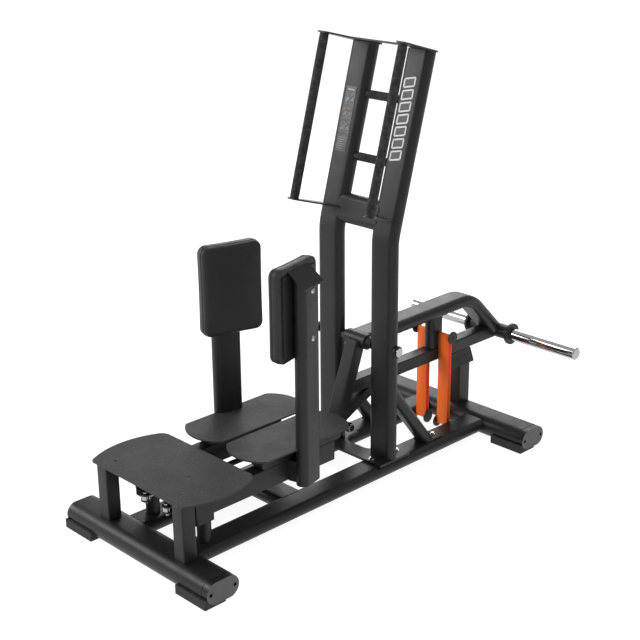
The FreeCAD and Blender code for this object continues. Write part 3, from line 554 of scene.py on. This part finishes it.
def add_placard_print(left=-0.161, heading=0.497, first_row=0.482, pitch=0.052, high=0.036, wide=0.019):
    """Heading bar, six framed figures with orange dots, and six ruled lines on the blank placard."""
    lines = [bar_between((left + 0.003, heading), (left + 0.039, heading), HEADING_LINE)]
    dots = []
    for row in range(3):
        top = first_row - pitch * row
        low = top - high
        for x in (left, left + 0.024):
            lines += outlined([(x, low), (x + wide, low), (x + wide, top), (x, top)], FRAME_LINE)
            for foot in (0.005, 0.014):
                lines.append(bar_between((x + foot, low + 0.008), (x + 0.012, top - 0.012), FIGURE_LINE))
            dots.append(bar_between((x + 0.004, top - 0.006), (x + 0.008, top - 0.006), DOT_LINE))
    for row in range(6):
        s = 0.322 - 0.008 * row
        lines.append(bar_between((left, s), (left + 0.038 - 0.006 * (row % 3), s), RULED_LINE))
    out = UPRIGHT_HALF + PLACARD_LIFT
    print_sheet("placard_lines", lines, out, PRINT_GREY)
    print_sheet("placard_dots", dots, out, PRINT_ORANGE)


add_slanted_bars()
add_placard_print()


# ---- cap screws ----
CAP_HOLE = 0.050                # from a crossbar's axis to each screw hole of its caps
CAP_HOLE_DEPTH = 0.0079         # the screw heads start this far inside a cap's outer face


def turned(profile, centre, side, sides=24):
    """Rings of a part turned about X, from (radius, distance outward) pairs."""
    circle = [direction(360 * i / sides) for i in range(sides)]
    return [[centre + Vector((side * x, radius * c.x, side * radius * c.y)) for c in circle]
            for radius, x in profile]


def add_cap_screws():
    """Round heads sunk in the holes of the crossbars' end caps."""
    profile = ((0.0058, 0.0), (0.0058, 0.0022), (0.0050, 0.0034),
               (0.0026, 0.0040), (0.0024, 0.0024), (0.0004, 0.0022))
    vertices, faces = [], []
    for y, half in (FRONT_BAR, REAR_BAR):
        for side in (-1.0, 1.0):
            for dy in (-CAP_HOLE, CAP_HOLE):
                centre = Vector((side * (half - CAP_HOLE_DEPTH), y + dy, BAR_AXIS_Z))
                rings = turned(profile, centre, side)
                faces += loft(rings, start=len(vertices))
                vertices += [v for ring in rings for v in ring]
    make_piece("cap_screws", vertices, faces, MATERIALS["screw_black"], "frame", smooth=False)


add_cap_screws()


# ---- camera, floor and light ----
def add_camera():
    """Camera above head height off the front right corner, looking down at the whole machine."""
    place = (3.2087, -3.1944, 2.2880)
    yaw, pitch, roll = (math.radians(a) for a in (45.836, -20.163, -0.476))
    forward = Vector((-math.sin(yaw) * math.cos(pitch), math.cos(yaw) * math.cos(pitch), math.sin(pitch)))
    level = Vector((math.cos(yaw), math.sin(yaw), 0))
    above = level.cross(forward)
    right = level * math.cos(roll) + above * math.sin(roll)
    up = above * math.cos(roll) - level * math.sin(roll)
    camera = bpy.data.objects.new("camera", bpy.data.cameras.new("camera"))
    camera.data.sensor_width = 36.0
    camera.data.lens = 74.2
    camera.data.clip_end = 50.0
    turn = Matrix((right, up, -forward)).transposed().to_4x4()
    camera.matrix_world = Matrix.Translation(place) @ turn
    bpy.context.scene.collection.objects.link(camera)
    bpy.context.scene.camera = camera


def add_floor():
    """Plain pale floor under the machine. It glows a little, so that it stays even and near white."""
    material, _, _ = new_material("pale_floor", (0.30, 0.30, 0.30), 0.7, specular=0.0)
    shader = material.node_tree.nodes["Principled BSDF"]
    shader.inputs["Emission Color"].default_value = (1.0, 1.0, 1.0, 1.0)
    shader.inputs["Emission Strength"].default_value = 0.92
    mesh = bpy.data.meshes.new("floor")
    half, steps, level = 40.0, 8, -0.0005
    row = steps + 1
    points = [(-half + 2 * half * i / steps, -half + 2 * half * j / steps, level)
              for j in range(row) for i in range(row)]
    corners = [j * row + i for j in range(steps) for i in range(steps)]
    faces = [(k, k + 1, k + row + 1, k + row) for k in corners]
    mesh.from_pydata(points, [], faces)
    mesh.materials.append(material)
    floor = bpy.data.objects.new("floor", mesh)
    bpy.context.scene.collection.objects.link(floor)


def add_softbox(name, place, aim, size, power):
    """Large square area light turned towards a point."""
    light = bpy.data.lights.new(name, "AREA")
    light.shape, light.size, light.energy = "SQUARE", size, power
    box = bpy.data.objects.new(name, light)
    box.location = place
    box.rotation_mode = "QUATERNION"
    box.rotation_quaternion = (Vector(aim) - Vector(place)).to_track_quat("-Z", "Y")
    bpy.context.scene.collection.objects.link(box)


def add_sky():
    """Very wide sun from straight above, for soft even shade."""
    sun = bpy.data.lights.new("sky", "SUN")
    sun.energy, sun.angle = 1.4, math.radians(130)
    bpy.context.scene.collection.objects.link(bpy.data.objects.new("sky", sun))


def add_world():
    """White surroundings at the horizon that fade to a dim grey higher up."""
    world = bpy.data.worlds.new("studio")
    world.use_nodes = True
    new, join = world.node_tree.nodes.new, world.node_tree.links.new
    background = world.node_tree.nodes["Background"]
    background.inputs["Color"].default_value = (1.0, 1.0, 1.0, 1.0)
    split, fade = new("ShaderNodeSeparateXYZ"), new("ShaderNodeMapRange")
    for key, value in (("From Min", 0.10), ("From Max", 0.24), ("To Min", 1.0), ("To Max", 0.18)):
        fade.inputs[key].default_value = value
    join(new("ShaderNodeTexCoord").outputs["Generated"], split.inputs["Vector"])
    join(split.outputs["Z"], fade.inputs["Value"])
    join(fade.outputs["Result"], background.inputs["Strength"])
    bpy.context.scene.world = world


add_camera()
add_floor()
add_softbox("overhead", (0.3, 0.6, 5.2), (0, 0.2, 0), 4.6, 25.0)
add_softbox("left_key", (-3.6, -3.2, 3.0), (0, 0, 0.6), 2.4, 160.0)
add_softbox("rear_panel", (-3.6, 4.0, 3.3), (0, 0, 0.4), 3.2, 130.0)
add_sky()
add_world()
bpy.context.scene.view_settings.view_transform = "Standard"
